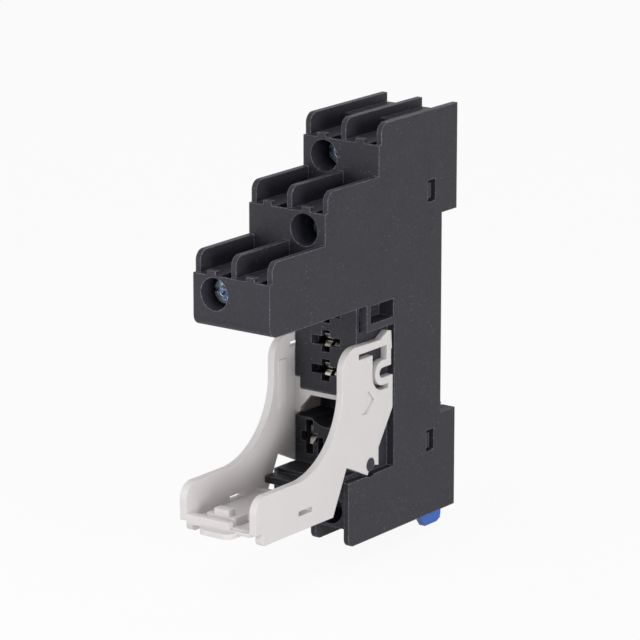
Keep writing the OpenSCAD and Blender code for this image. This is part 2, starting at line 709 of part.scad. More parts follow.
// Floor of the clip with its raised pad, relay catch, front rail and thumb tab
module clip_floor() {
    back = lower_d + 5.7;
    pad_front = clip_front_d - 1.85;
    tab_r = 1.6;
    difference() {
        block(-clip_in - nudge, clip_in + nudge, back, clip_front_d - 0.8, floor_z, floor_top);
        block(2.3, 2.9, pad_front - 4.2, pad_front - 0.6, floor_z - 1, floor_top + 1);
        block(-4.4, -3.8, pad_front - 4.2, pad_front - 0.6, floor_z - 1, floor_top + 1);
    }
    block(-clip_in - nudge, clip_in + nudge, back, back + 0.8, floor_z, floor_top + 0.5);
    block(-clip_in - nudge, clip_in + nudge, clip_front_d - 1.3, clip_front_d, floor_z + 0.1, floor_z + 0.7);
    block(-clip_in - nudge, 2.3, clip_front_d - 1.3, clip_front_d, floor_z + 0.1, floor_z + 1.8);
    block(-3.6, 2.2, pad_front - 3.3, pad_front, floor_top - nudge, floor_z + 2.1);
    block(-2.1, 0.9, pad_front - 1.7, pad_front, floor_top - nudge, floor_z + 3.2);
    translate([0.45, 0, floor_z - 0.4]) linear_extrude(clip_floor_t) difference() {
        translate([-3.45, -clip_front_d - 2]) union() {
            translate([0, tab_r]) square([6.9, 3.6 - tab_r]);
            translate([tab_r, 0]) square([6.9 - 2 * tab_r, 3.6]);
            translate([tab_r, tab_r]) circle(tab_r);
            translate([6.9 - tab_r, tab_r]) circle(tab_r);
        }
    }
}

// Light moulded retaining clip: two side walls, bridge and floor in one piece
module retaining_clip() {
    color([0.86, 0.85, 0.84]) seated() {
        both_sides() {
            difference() {
                slab(clip_in, half_w) clip_wall_profile();
                slab(half_w - 0.55, half_w + 1) chevron_profile();
            }
            block(clip_in - 0.25, clip_in + nudge, clip_upright_d - 3.2, clip_upright_d - 1.3,
                block_bottom - 2.8, clip_top - 4);
        }
        ejector_bridge();
        clip_floor();
    }
}

// Shallow arrow mark pressed into the wall's outer face
module chevron_profile() {
    tip_z = block_bottom - 0.7;
    near = pivot_d + 0.35;
    polygon([[near + 1.5, tip_z + 1.8], [near + 0.1, tip_z + 1.8], [near - 1.4, tip_z], [near + 0.6, tip_z - 2],
        [near + 2.1, tip_z - 2], [near + 0.5, tip_z]]);
}

housing();
rear_cover();
rail_clip();
retaining_clip();
clamp_screw(TERMINALS[0]);  // screw_upper
clamp_screw(TERMINALS[1]);  // screw_middle
clamp_screw(TERMINALS[2]);  // screw_lower
clamp_screw(TERMINALS[3]);  // screw_coil_left
clamp_screw(TERMINALS[4]);  // screw_coil_right
clamp_cage(TERMINALS[0]);  // cage_upper
clamp_cage(TERMINALS[1]);  // cage_middle
clamp_cage(TERMINALS[2]);  // cage_lower
clamp_cage(TERMINALS[3]);  // cage_coil_left
clamp_cage(TERMINALS[4]);  // cage_coil_right
strip_upper();
stepped_strip(TERMINALS[1], contact_z[1]);  // strip_middle
stepped_strip(TERMINALS[2], contact_z[0]);  // strip_lower
coil_strip(TERMINALS[3]);  // strip_coil_left
coil_strip(TERMINALS[4]);  // strip_coil_right
fork_contact(contact_z[0]);  // fork_upper
fork_contact(contact_z[1]);  // fork_middle
fork_contact(contact_z[2]);  // fork_lower
coil_fork(-1);  // fork_coil_left
coil_fork(1);  // fork_coil_right
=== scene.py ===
"""Visual model of a slim rail-mounted relay socket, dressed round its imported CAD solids."""

import logging
import math
from dataclasses import dataclass, field
from enum import Enum

import bmesh
import bpy
from mathutils import Matrix, Vector

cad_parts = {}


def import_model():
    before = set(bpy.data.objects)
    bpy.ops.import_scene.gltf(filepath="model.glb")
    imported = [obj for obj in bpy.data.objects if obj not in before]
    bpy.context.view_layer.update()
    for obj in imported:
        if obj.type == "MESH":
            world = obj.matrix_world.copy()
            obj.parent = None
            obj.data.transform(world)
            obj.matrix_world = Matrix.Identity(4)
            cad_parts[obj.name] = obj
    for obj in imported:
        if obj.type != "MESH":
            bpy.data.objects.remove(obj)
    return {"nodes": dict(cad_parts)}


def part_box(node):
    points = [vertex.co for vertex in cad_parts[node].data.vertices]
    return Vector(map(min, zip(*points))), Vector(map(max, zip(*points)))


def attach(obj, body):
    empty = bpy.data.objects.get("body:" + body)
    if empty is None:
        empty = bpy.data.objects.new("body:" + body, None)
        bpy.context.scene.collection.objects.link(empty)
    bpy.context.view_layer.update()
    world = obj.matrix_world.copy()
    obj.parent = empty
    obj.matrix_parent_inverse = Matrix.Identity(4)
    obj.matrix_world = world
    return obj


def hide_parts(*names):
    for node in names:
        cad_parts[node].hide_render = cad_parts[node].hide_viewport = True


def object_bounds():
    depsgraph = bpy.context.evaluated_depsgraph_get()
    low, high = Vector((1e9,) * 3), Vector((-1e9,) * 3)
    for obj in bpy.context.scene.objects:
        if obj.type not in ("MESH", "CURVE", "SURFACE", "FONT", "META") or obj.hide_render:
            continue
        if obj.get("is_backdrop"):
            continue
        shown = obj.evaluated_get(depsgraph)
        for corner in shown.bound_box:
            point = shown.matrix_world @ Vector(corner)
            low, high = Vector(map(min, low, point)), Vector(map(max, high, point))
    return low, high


LOG = logging.getLogger("relay_socket")
MM = 0.001
WHITE = (1.0, 1.0, 1.0, 1.0)
FLOOR_GAP = 0.05 * MM


class Terminal(Enum):
    """The five screw terminals."""

    UPPER = "upper"
    MIDDLE = "middle"
    LOWER = "lower"
    COIL_LEFT = "coil_left"
    COIL_RIGHT = "coil_right"


class MetalKind(Enum):
    """How a metal part is finished."""

    BLUE_ZINC = "blue zinc"
    CLEAR_ZINC = "clear zinc"
    BRASS = "brass"
    TIN = "tin"


class NodeWriter:
    """Adds nodes to a tree, and sets or links their inputs by name."""

    def __init__(self, tree: bpy.types.NodeTree) -> None:
        """Takes over a tree and empties it.

        Args:
            tree: The tree to write in.
        """
        self.tree = tree
        self.tree.nodes.clear()

    def put(self, socket: bpy.types.NodeSocket, value: object) -> None:
        """Links an input, or sets its own value.

        Args:
            socket: The input.
            value: A socket to link from, or a plain value.
        """
        if isinstance(value, bpy.types.NodeSocket):
            self.tree.links.new(value, socket)
        else:
            socket.default_value = value

    def node(self, kind: str, **values: object) -> bpy.types.Node:
        """Adds a node and sets or links its inputs.

        Args:
            kind: The node's type.
            values: Inputs by name with spaces as underscores, or properties starting with "set_".

        Returns:
            The new node.
        """
        made = self.tree.nodes.new(kind)
        for key, value in values.items():
            if key.startswith("set_"):
                setattr(made, key.removeprefix("set_"), value)
        for key, value in values.items():
            if not key.startswith("set_"):
                self.put(made.inputs[key.replace("_", " ")], value)
        return made

    def math(self, operation: str, a: object, b: object) -> bpy.types.NodeSocket:
        """Combines two numbers.

        Args:
            operation: The math node's operation.
            a: First number or socket.
            b: Second number or socket.

        Returns:
            The result's socket.
        """
        made = self.node("ShaderNodeMath", set_operation=operation)
        self.put(made.inputs[0], a)
        self.put(made.inputs[1], b)
        return made.outputs[0]

    def scaled(self, value: object, factor: float) -> bpy.types.NodeSocket:
        """Returns a number times a factor."""
        return self.math("MULTIPLY", value, factor)


class FinishWriter(NodeWriter):
    """A material in the making, with its principled shader and where its points lie."""

    def __init__(self, name: str) -> None:
        """Starts a material.

        Args:
            name: The material's name.
        """
        self.material = bpy.data.materials.new(name)
        self.material.use_nodes = True
        super().__init__(self.material.node_tree)
        output = self.node("ShaderNodeOutputMaterial")
        self.shader = self.node("ShaderNodeBsdfPrincipled")
        self.tree.links.new(self.shader.outputs["BSDF"], output.inputs["Surface"])
        self.place = self.node("ShaderNodeTexCoord").outputs["Object"]

    def surface(self, **values: object) -> None:
        """Sets or links the shader's inputs by name, with spaces as underscores."""
        for key, value in values.items():
            self.put(self.shader.inputs[key.replace("_", " ")], value)

    def noise(self, size: float, detail: float = 2.0) -> bpy.types.NodeSocket:
        """Returns noise with grains of about a given size in metres."""
        made = self.node("ShaderNodeTexNoise", Vector=self.place, Scale=1 / size, Detail=detail)
        return made.outputs["Fac"]

    def span(self, value: bpy.types.NodeSocket, source: tuple[float, float],
             target: tuple[float, float] = (0.0, 1.0)) -> bpy.types.NodeSocket:
        """Maps one span of values onto another and holds its ends.

        Args:
            value: The value to map.
            source: Both ends of its span.
            target: What the ends become.

        Returns:
            The mapped value.
        """
        made = self.node("ShaderNodeMapRange", Value=value, From_Min=source[0], From_Max=source[1],
                         To_Min=target[0], To_Max=target[1])
        return made.outputs["Result"]

    def blend(self, share: object, low: object, high: object) -> bpy.types.NodeSocket:
        """Blends two colours by a share from 0 to 1."""
        made = self.node("ShaderNodeMix", set_data_type="RGBA", Factor=share, A=low, B=high)
        return made.outputs["Result"]

    def rounded(self, radius: float, samples: int = 6) -> bpy.types.NodeSocket:
        """Returns normals rounded over the edges by a radius in metres."""
        return self.node("ShaderNodeBevel", set_samples=samples, Radius=radius).outputs["Normal"]


@dataclass(frozen=True)
class Wear:
    """How handling, dust, the mould's own steel and a painted edge highlight show in a moulding's colour.
    """

    # Strength of the lighter rim along edges: painted edge highlight and rubbed wear together.
    edge_highlight_and_scuff: float = 0.0
    speck: float = 0.0
    mottle: float = 0.0
    rim_radius: float = 0.3 * MM
    rim_samples: int = 8
    rim_turn: tuple[float, float] = (0.995, 0.85)
    patch_size: float = 0.4 * MM
    patch_detail: float = 3.0
    patch_span: tuple[float, float] = (0.46, 0.62)
    patch_least: float = 0.3
    # How much lighter the rim is painted, for the edge highlight and the rubbed wear.
    edge_highlight_and_scuff_gain: float = 6.0
    lift: float = 0.02
    speck_spacing: float = 0.8 * MM
    speck_span: tuple[float, float] = (0.17, 0.08)
    drift_size: float = 7 * MM
    drift_span: tuple[float, float] = (0.44, 0.6)
    speck_gain: float = 5.0
    mottle_size: float = 0.45 * MM
    mottle_span: tuple[float, float] = (0.3, 0.7)

    def highlit_and_scuffed_edges(self, finish: FinishWriter) -> bpy.types.NodeSocket:
        """Finds how much lighter a point is painted along edges, in patches: painted edge highlight and
        rubbed wear.

        Args:
            finish: The material in the making.

        Returns:
            The share of lighter colour: painted edge highlight and rubbed wear.
        """
        turn = finish.node("ShaderNodeVectorMath", set_operation="DOT_PRODUCT")
        shape = finish.node("ShaderNodeNewGeometry")
        finish.put(turn.inputs[0], shape.outputs["True Normal"])
        finish.put(turn.inputs[1], finish.rounded(self.rim_radius, self.rim_samples))
        # Rim mask: painted edge highlight and rubbed wear where the rounded normal turns from the true one.
        rim = finish.span(turn.outputs["Value"], self.rim_turn, (0.0, self.edge_highlight_and_scuff))
        noise = finish.noise(self.patch_size, self.patch_detail)
        patch = finish.span(noise, self.patch_span, (self.patch_least, 1.0))
        return finish.math("MULTIPLY", rim, patch)

    def dusted(self, finish: FinishWriter) -> bpy.types.NodeSocket:
        """Finds where tiny specks of dust lie, in drifts.

        Args:
            finish: The material in the making.

        Returns:
            The share of dust's colour.
        """
        cells = finish.node("ShaderNodeTexVoronoi", Vector=finish.place, Scale=1 / self.speck_spacing)
        dot = finish.span(cells.outputs["Distance"], self.speck_span, (0.0, self.speck))
        drift = finish.span(finish.noise(self.drift_size), self.drift_span)
        return finish.math("MULTIPLY", dot, drift)

    def mottled(self, finish: FinishWriter, colour: bpy.types.NodeSocket) -> bpy.types.NodeSocket:
        """Varies a colour finely, as eroded mould steel leaves it.

        Args:
            finish: The material in the making.
            colour: The colour so far.

        Returns:
            The new colour.
        """
        gain = finish.span(finish.noise(self.mottle_size), self.mottle_span,
                           (1 - self.mottle, 1 + self.mottle))
        scaled = finish.node("ShaderNodeVectorMath", set_operation="SCALE", Scale=gain)
        finish.put(scaled.inputs[0], colour)
        return scaled.outputs["Vector"]


@dataclass(frozen=True)
class Moulding:
    """A moulded plastic finish with fine grain, faint tone variation and softened edges."""

    name: str
    colour: tuple[float, float, float]
    roughness: float = 0.5
    grain: float = 0.012 * MM
    grain_size: float = 0.16 * MM
    grain_strength: float = 0.6
    edge: float = 0.14 * MM
    tone: float = 0.1
    tone_size: float = 6 * MM
    tone_detail: float = 3.0
    scatter: float = 0.0
    scatter_depth: float = 1.2 * MM
    scatter_tint: tuple[float, float, float] = (1.0, 0.9, 0.86)
    sheen: float = 0.4
    wear: Wear = Wear()

    def tint(self, gain: float, lift: float = 0.0) -> tuple[float, ...]:
        """Returns the finish's colour times a gain, with a lift added."""
        return tuple(min(1.0, c * gain + lift) for c in self.colour) + (1.0,)

    def build(self) -> bpy.types.Material:
        """Builds the finish.

        Returns:
            The finished material.
        """
        finish, wear = FinishWriter(self.name), self.wear
        colour = finish.blend(finish.noise(self.tone_size, self.tone_detail),
                              self.tint(1 - self.tone), self.tint(1 + self.tone))
        # Lightens the edges: painted edge highlight and rubbed wear, in patches.
        if wear.edge_highlight_and_scuff:
            colour = finish.blend(wear.highlit_and_scuffed_edges(finish), colour, self.tint(wear.edge_highlight_and_scuff_gain, wear.lift))
        if wear.speck:
            colour = finish.blend(wear.dusted(finish), colour, self.tint(wear.speck_gain, wear.lift))
        if wear.mottle:
            colour = wear.mottled(finish, colour)
        bump = finish.node("ShaderNodeBump", Strength=self.grain_strength, Distance=self.grain,
                           Height=finish.noise(self.grain_size), Normal=finish.rounded(self.edge))
        finish.surface(Base_Color=colour, Roughness=self.roughness, Specular_IOR_Level=self.sheen,
                       Normal=bump.outputs["Normal"])
        if self.scatter:
            finish.surface(Subsurface_Weight=self.scatter, Subsurface_Scale=self.scatter_depth,
                           Subsurface_Radius=self.scatter_tint)
        return finish.material


@dataclass(frozen=True)
class Metal:
    """A plated or bare metal finish with faint stains."""

    name: str
    kind: MetalKind
    roughness: float = 0.3
    stain_size: float = 1.2 * MM
    stain_detail: float = 4.0
    stain_shade: float = 0.72
    rough_span: tuple[float, float] = (0.8, 1.3)
    edge: float = 0.08 * MM

    def colour(self, gain: float = 1.0) -> tuple[float, ...]:
        """Looks up the metal's own colour.

        Args:
            gain: What the colour is multiplied by.

        Returns:
            The colour, with its alpha.
        """
        own = {
            MetalKind.BLUE_ZINC: (0.6, 0.71, 0.84),
            MetalKind.CLEAR_ZINC: (0.66, 0.67, 0.68),
            MetalKind.BRASS: (0.74, 0.6, 0.34),
            MetalKind.TIN: (0.76, 0.73, 0.66),
        }[self.kind]
        return tuple(c * gain for c in own) + (1.0,)

    def build(self) -> bpy.types.Material:
        """Builds the finish.

        Returns:
            The finished material.
        """
        finish = FinishWriter(self.name)
        stain = finish.noise(self.stain_size, self.stain_detail)
        spread = tuple(self.roughness * share for share in self.rough_span)
        finish.surface(Base_Color=finish.blend(stain, self.colour(self.stain_shade), self.colour()),
                       Roughness=finish.span(stain, (0.0, 1.0), spread), Metallic=1.0,
                       Normal=finish.rounded(self.edge))
        return finish.material


@dataclass(frozen=True)
class Finishes:
    """Every finish used on the socket, built once."""

    housing: bpy.types.Material
    cover: bpy.types.Material
    clip: bpy.types.Material
    foot: bpy.types.Material
    screw: bpy.types.Material
    cage: bpy.types.Material
    strip: bpy.types.Material
    fork: bpy.types.Material

    @staticmethod
    def make() -> "Finishes":
        """Builds all the finishes.

        Returns:
            The set of finishes.
        """
        black = (0.036, 0.0345, 0.043)
        light_grey = (0.745, 0.716, 0.712)
        blue = (0.03, 0.14, 0.56)
        return Finishes(
            # The black mouldings get a painted edge highlight along with their rubbed wear.
            housing=Moulding("black moulding", black, roughness=0.5, sheen=0.19,
                             wear=Wear(edge_highlight_and_scuff=1.0, speck=0.6, mottle=0.14)).build(),
            cover=Moulding("rear cover moulding", black, roughness=0.55, sheen=0.19,
                           wear=Wear(edge_highlight_and_scuff=0.5, speck=0.4)).build(),
            clip=Moulding("light grey moulding", light_grey, roughness=0.45, grain=0.006 * MM,
                          tone=0.02, scatter=0.35).build(),
            foot=Moulding("blue moulding", blue, roughness=0.36, grain=0.004 * MM, tone=0.05).build(),
            screw=Metal("blue zinc screw", MetalKind.BLUE_ZINC, roughness=0.2).build(),
            cage=Metal("clear zinc cage", MetalKind.CLEAR_ZINC, roughness=0.34).build(),
            strip=Metal("stamped brass strip", MetalKind.BRASS, roughness=0.32).build(),
            fork=Metal("tinned spring leaf", MetalKind.TIN, roughness=0.28).build(),
        )


class GeometryTree(NodeWriter):
    """A Geometry Nodes tree in the making, with named inputs."""

    def __init__(self, name: str) -> None:
        """Starts an empty tree.

        Args:
            name: The tree's name.
        """
        super().__init__(bpy.data.node_groups.new(name, "GeometryNodeTree"))
        self.tree.interface.new_socket("Geometry", in_out="OUTPUT", socket_type="NodeSocketGeometry")
        self.identifiers: dict[str, str] = {}
        self.entry = self.tree.nodes.new("NodeGroupInput")

    def size(self, name: str, value: float) -> bpy.types.NodeSocket:
        """Adds a named number.

        Args:
            name: The input's name.
            value: Its default.

        Returns:
            The socket to link from.
        """
        socket = self.tree.interface.new_socket(name, in_out="INPUT", socket_type="NodeSocketFloat")
        socket.default_value = value
        self.identifiers[name] = socket.identifier
        return self.entry.outputs[name]

    def vector(self, x: object = 0.0, y: object = 0.0, z: object = 0.0) -> bpy.types.NodeSocket:
        """Combines three numbers into a vector socket."""
        return self.node("ShaderNodeCombineXYZ", X=x, Y=y, Z=z).outputs[0]

    def raised(self, geometry: bpy.types.NodeSocket, z: object) -> bpy.types.NodeSocket:
        """Returns a geometry moved along Z."""
        place = self.vector(z=z)
        return self.node("GeometryNodeTransform", Geometry=geometry, Translation=place).outputs[0]

    def combined(self, operation: str, first: bpy.types.NodeSocket | None,
                 *others: bpy.types.NodeSocket) -> bpy.types.NodeSocket:
        """Combines solids with an exact boolean.

        Args:
            operation: The boolean's operation.
            first: What a difference cuts from, or None for a union.
            others: The other solids, in order.

        Returns:
            The combined solid.
        """
        made = self.node("GeometryNodeMeshBoolean", set_operation=operation, set_solver="EXACT")
        if first:
            self.tree.links.new(first, made.inputs["Mesh 1"])
        for solid in others:
            self.tree.links.new(solid, made.inputs["Mesh 2"])
        return made.outputs["Mesh"]

    def join(self, *parts: bpy.types.NodeSocket) -> bpy.types.NodeSocket:
        """Joins several geometries into one.

        Args:
            parts: The geometries, in order.

        Returns:
            The joined geometry.
        """
        made = self.tree.nodes.new("GeometryNodeJoinGeometry")
        for part in parts:
            self.tree.links.new(part, made.inputs[0])
        return made.outputs[0]

    def finish(self, geometry: bpy.types.NodeSocket, material: bpy.types.Material) -> None:
        """Ends the tree in Realize Instances and Set Material.

        Args:
            geometry: What the tree makes.
            material: The finish it gets.
        """
        real = self.node("GeometryNodeRealizeInstances", Geometry=geometry)
        dressed = self.node("GeometryNodeSetMaterial", Geometry=real.outputs[0], Material=material)
        exit_node = self.tree.nodes.new("NodeGroupOutput")
        self.tree.links.new(dressed.outputs[0], exit_node.inputs[0])


def grow(name: str, tree: GeometryTree, sizes: dict[str, float], place: Matrix) -> bpy.types.Object:
    """Evaluates a Geometry Nodes tree into a plain mesh at its place.

    Args:
        name: The new piece's name.
        tree: The tree to evaluate.
        sizes: Values for its named inputs.
        place: Where the result goes in the shared frame.

    Returns:
        A mesh object at the origin, unturned and unscaled.
    """
    seed = bpy.data.objects.new(name + " seed", bpy.data.meshes.new(name + " seed"))
    bpy.context.scene.collection.objects.link(seed)
    modifier = seed.modifiers.new("build", "NODES")
    modifier.node_group = tree.tree
    for key, value in sizes.items():
        modifier[tree.identifiers[key]] = value
    bpy.context.view_layer.update()
    evaluated = seed.evaluated_get(bpy.context.evaluated_depsgraph_get())
    mesh = bpy.data.meshes.new_from_object(evaluated)
    mesh.transform(place)
    mesh.name = name
    seed.modifiers.remove(modifier)
    bpy.data.objects.remove(seed)
    piece = bpy.data.objects.new(name, mesh)
    bpy.context.scene.collection.objects.link(piece)
    return piece


def smooth_by_angle(piece: bpy.types.Object, degrees: float) -> None:
    """Shades a piece smooth except where its faces turn by more than an angle.

    Args:
        piece: The piece.
        degrees: The angle.
    """
    mesh = piece.data
    mesh.polygons.foreach_set("use_smooth", [True] * len(mesh.polygons))
    work = bmesh.new()
    work.from_mesh(mesh)
    limit = math.radians(degrees)
    for edge in work.edges:
        if len(edge.link_faces) == 2:
            edge.smooth = edge.calc_face_angle(0.0) < limit
    work.to_mesh(mesh)
    work.free()


@dataclass
class ClampScrew:
    """A clamp screw: bevelled head with a combined cross and slot, and a threaded shank."""

    terminal: Terminal
    head_radius: float = 2.4 * MM
    head_height: float = 1.8 * MM
    core_radius: float = 1.2 * MM
    shank_radius: float = 1.45 * MM
    pitch: float = 0.5 * MM
    slot_width: float = 0.62 * MM
    slot_depth: float = 0.682 * MM
    recess: float = 1.1 * MM
    arm: float = 1.45 * MM
    arm_width: float = 0.8 * MM
    well_radii: tuple[float, float] = (1.0 * MM, 0.45 * MM)
    well_facets: int = 24
    overcut: float = 0.05
    chamfer: float = 0.3 * MM
    facets: int = 64
    core_facets: int = 32
    turn_facets: int = 28
    bead_facets: int = 4
    bare_turns: float = 0.8
    crease: float = 35.0

    def node(self) -> str:
        """Returns the name of the CAD node that this screw stands for."""
        return f"screw_{self.terminal.value}"

    def tree(self, material: bpy.types.Material) -> GeometryTree:
        """Writes the screw's tree, with its axis on Z and its head's top at zero.

        Args:
            material: The screw's finish.

        Returns:
            The finished tree.
        """
        tree = GeometryTree("clamp screw")
        radius = tree.size("Head radius", self.head_radius)
        height = tree.size("Head height", self.head_height)
        length = tree.size("Length", 0.0)
        head = self.head(tree, radius, height)
        cut = tree.combined("DIFFERENCE", head, *self.cutters(tree))
        tree.finish(tree.join(cut, *self.shank(tree, length, height)), material)
        return tree

    def head(self, tree: GeometryTree, radius: bpy.types.NodeSocket,
             height: bpy.types.NodeSocket) -> bpy.types.NodeSocket:
        """Makes the head, chamfered at both ends.

        Args:
            tree: The screw's tree.
            radius: The head's radius.
            height: The head's height.

        Returns:
            The head's solid.
        """
        rim = tree.size("Rim", self.chamfer)
        small = tree.math("SUBTRACT", radius, rim)
        flat = tree.math("SUBTRACT", height, tree.scaled(rim, 2.0))
        disc = tree.node("GeometryNodeMeshCylinder", Vertices=self.facets, Radius=radius, Depth=flat)
        top = tree.node("GeometryNodeMeshCone", Vertices=self.facets, Radius_Top=small,
                        Radius_Bottom=radius, Depth=rim)
        base = tree.node("GeometryNodeMeshCone", Vertices=self.facets, Radius_Top=radius,
                         Radius_Bottom=small, Depth=rim)
        return tree.combined("UNION", None,
                             tree.raised(disc.outputs["Mesh"], tree.scaled(height, -0.5)),
                             tree.raised(top.outputs["Mesh"], tree.scaled(rim, -1.0)),
                             tree.raised(base.outputs["Mesh"], tree.scaled(height, -1.0)))

    def cutters(self, tree: GeometryTree) -> list[bpy.types.NodeSocket]:
        """Makes what is cut from the head: a slot, a cross and the cross's tapered well.

        Args:
            tree: The screw's tree.

        Returns:
            The solids to cut away.
        """
        depth, reach, over = 2 * self.recess, 2 * self.arm, self.overcut * self.recess
        bars = ((3 * self.head_radius, self.slot_width, 2 * self.slot_depth),
                (reach, self.arm_width, depth), (self.arm_width, reach, depth))
        cutters = [tree.node("GeometryNodeMeshCube", Size=bar).outputs["Mesh"] for bar in bars]
        well = tree.node("GeometryNodeMeshCone", Vertices=self.well_facets, Radius_Top=self.well_radii[0],
                         Radius_Bottom=self.well_radii[1], Depth=self.recess + 2 * over)
        return cutters + [tree.raised(well.outputs["Mesh"], -self.recess - over)]

    def shank(self, tree: GeometryTree, length: bpy.types.NodeSocket,
              height: bpy.types.NodeSocket) -> list[bpy.types.NodeSocket]:
        """Makes the shank's core and the thread on it, which stops short of both ends.

        Args:
            tree: The screw's tree.
            length: The whole screw's length.
            height: The head's height.

        Returns:
            The core and the thread.
        """
        radius = tree.size("Core radius", self.core_radius)
        crest = tree.size("Crest radius", self.shank_radius)
        pitch = tree.size("Pitch", self.pitch)
        depth = tree.math("SUBTRACT", length, height)
        core = tree.node("GeometryNodeMeshCylinder", Vertices=self.core_facets, Radius=radius, Depth=depth)
        run = tree.math("SUBTRACT", depth, tree.scaled(pitch, 2 * self.bare_turns))
        helix = tree.node("GeometryNodeCurveSpiral", Resolution=self.turn_facets,
                          Rotations=tree.math("DIVIDE", run, pitch),
                          Start_Radius=radius, End_Radius=radius, Height=run)
        bead = tree.node("GeometryNodeCurvePrimitiveCircle", Resolution=self.bead_facets,
                         Radius=tree.math("SUBTRACT", crest, radius))
        thread = tree.node("GeometryNodeCurveToMesh", Curve=helix.outputs[0],
                           Profile_Curve=bead.outputs[0], Fill_Caps=True)
        middle = tree.scaled(tree.math("ADD", length, height), -0.5)
        start = tree.math("ADD", tree.scaled(length, -1.0), tree.scaled(pitch, self.bare_turns))
        return [tree.raised(core.outputs["Mesh"], middle), tree.raised(thread.outputs[0], start)]

    def build(self, finishes: Finishes) -> bpy.types.Object:
        """Builds the screw where its CAD node stands.

        Args:
            finishes: The socket's finishes.

        Returns:
            The screw, riding on its own body.
        """
        low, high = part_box(self.node())
        centre = (low + high) / 2
        turn = Matrix.Rotation(math.radians(90), 4, "X")
        place = Matrix.Translation(Vector((centre.x, low.y, centre.z))) @ turn
        sizes = {"Length": high.y - low.y, "Head radius": (high.x - low.x) / 2}
        piece = grow(f"clamp_screw_{self.terminal.value}", self.tree(finishes.screw), sizes, place)
        smooth_by_angle(piece, self.crease)
        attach(piece, f"turn_{self.terminal.value}")
        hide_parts(self.node())
        return piece


@dataclass
class GripRibs:
    """Rows of pressed ribs on a strip's tongue, which bite into the clamped wire."""

    terminal: Terminal
    rise: float = 0.12 * MM
    width: float = 2.2 * MM
    spacing: float = 0.55 * MM
    count: int = 6
    facets: int = 8
    screw_gap: float = 0.15 * MM
    strip_thickness: float = 0.8 * MM

    def build(self, finishes: Finishes) -> bpy.types.Object:
        """Builds the ribs on the wire's side of the tongue.

        Args:
            finishes: The socket's finishes.

        Returns:
            The row of ribs, riding on the socket's base.
        """
        cage_low, cage_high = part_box(f"cage_{self.terminal.value}")
        tree = GeometryTree("grip ribs")
        spacing = tree.size("Spacing", self.spacing)
        rise = tree.size("Rise", self.rise)
        width = tree.size("Width", self.width)
        row = tree.node("GeometryNodeMeshLine", Count=self.count, Offset=tree.vector(z=spacing))
        rib = tree.node("GeometryNodeMeshCylinder", Vertices=self.facets, Radius=rise, Depth=width)
        turned = tree.node("GeometryNodeTransform", Geometry=rib.outputs["Mesh"],
                           Rotation=(0.0, math.radians(90), 0.0))
        many = tree.node("GeometryNodeInstanceOnPoints", Points=row.outputs["Mesh"],
                         Instance=turned.outputs[0])
        tree.finish(many.outputs[0], finishes.strip)
        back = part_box(f"screw_{self.terminal.value}")[1].y + self.screw_gap + self.strip_thickness
        middle = (cage_low + cage_high) / 2
        start = Vector((middle.x, back, middle.z - self.spacing * (self.count - 1) / 2))
        piece = grow(f"wire_grip_ribs_{self.terminal.value}", tree, {}, Matrix.Translation(start))
        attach(piece, "base")
        return piece


@dataclass(frozen=True)
class Leaf:
    """One spring leaf.

    It stands off the fork's middle by x, above the blade where side is 1 and below it where side is -1. Its
    mouth opens to a height over the blade, it reaches past the CAD node's front, and point is the share of
    its width that is left at the tip.
    """

    x: float
    width: float
    side: int
    mouth: float
    reach: float
    point: float


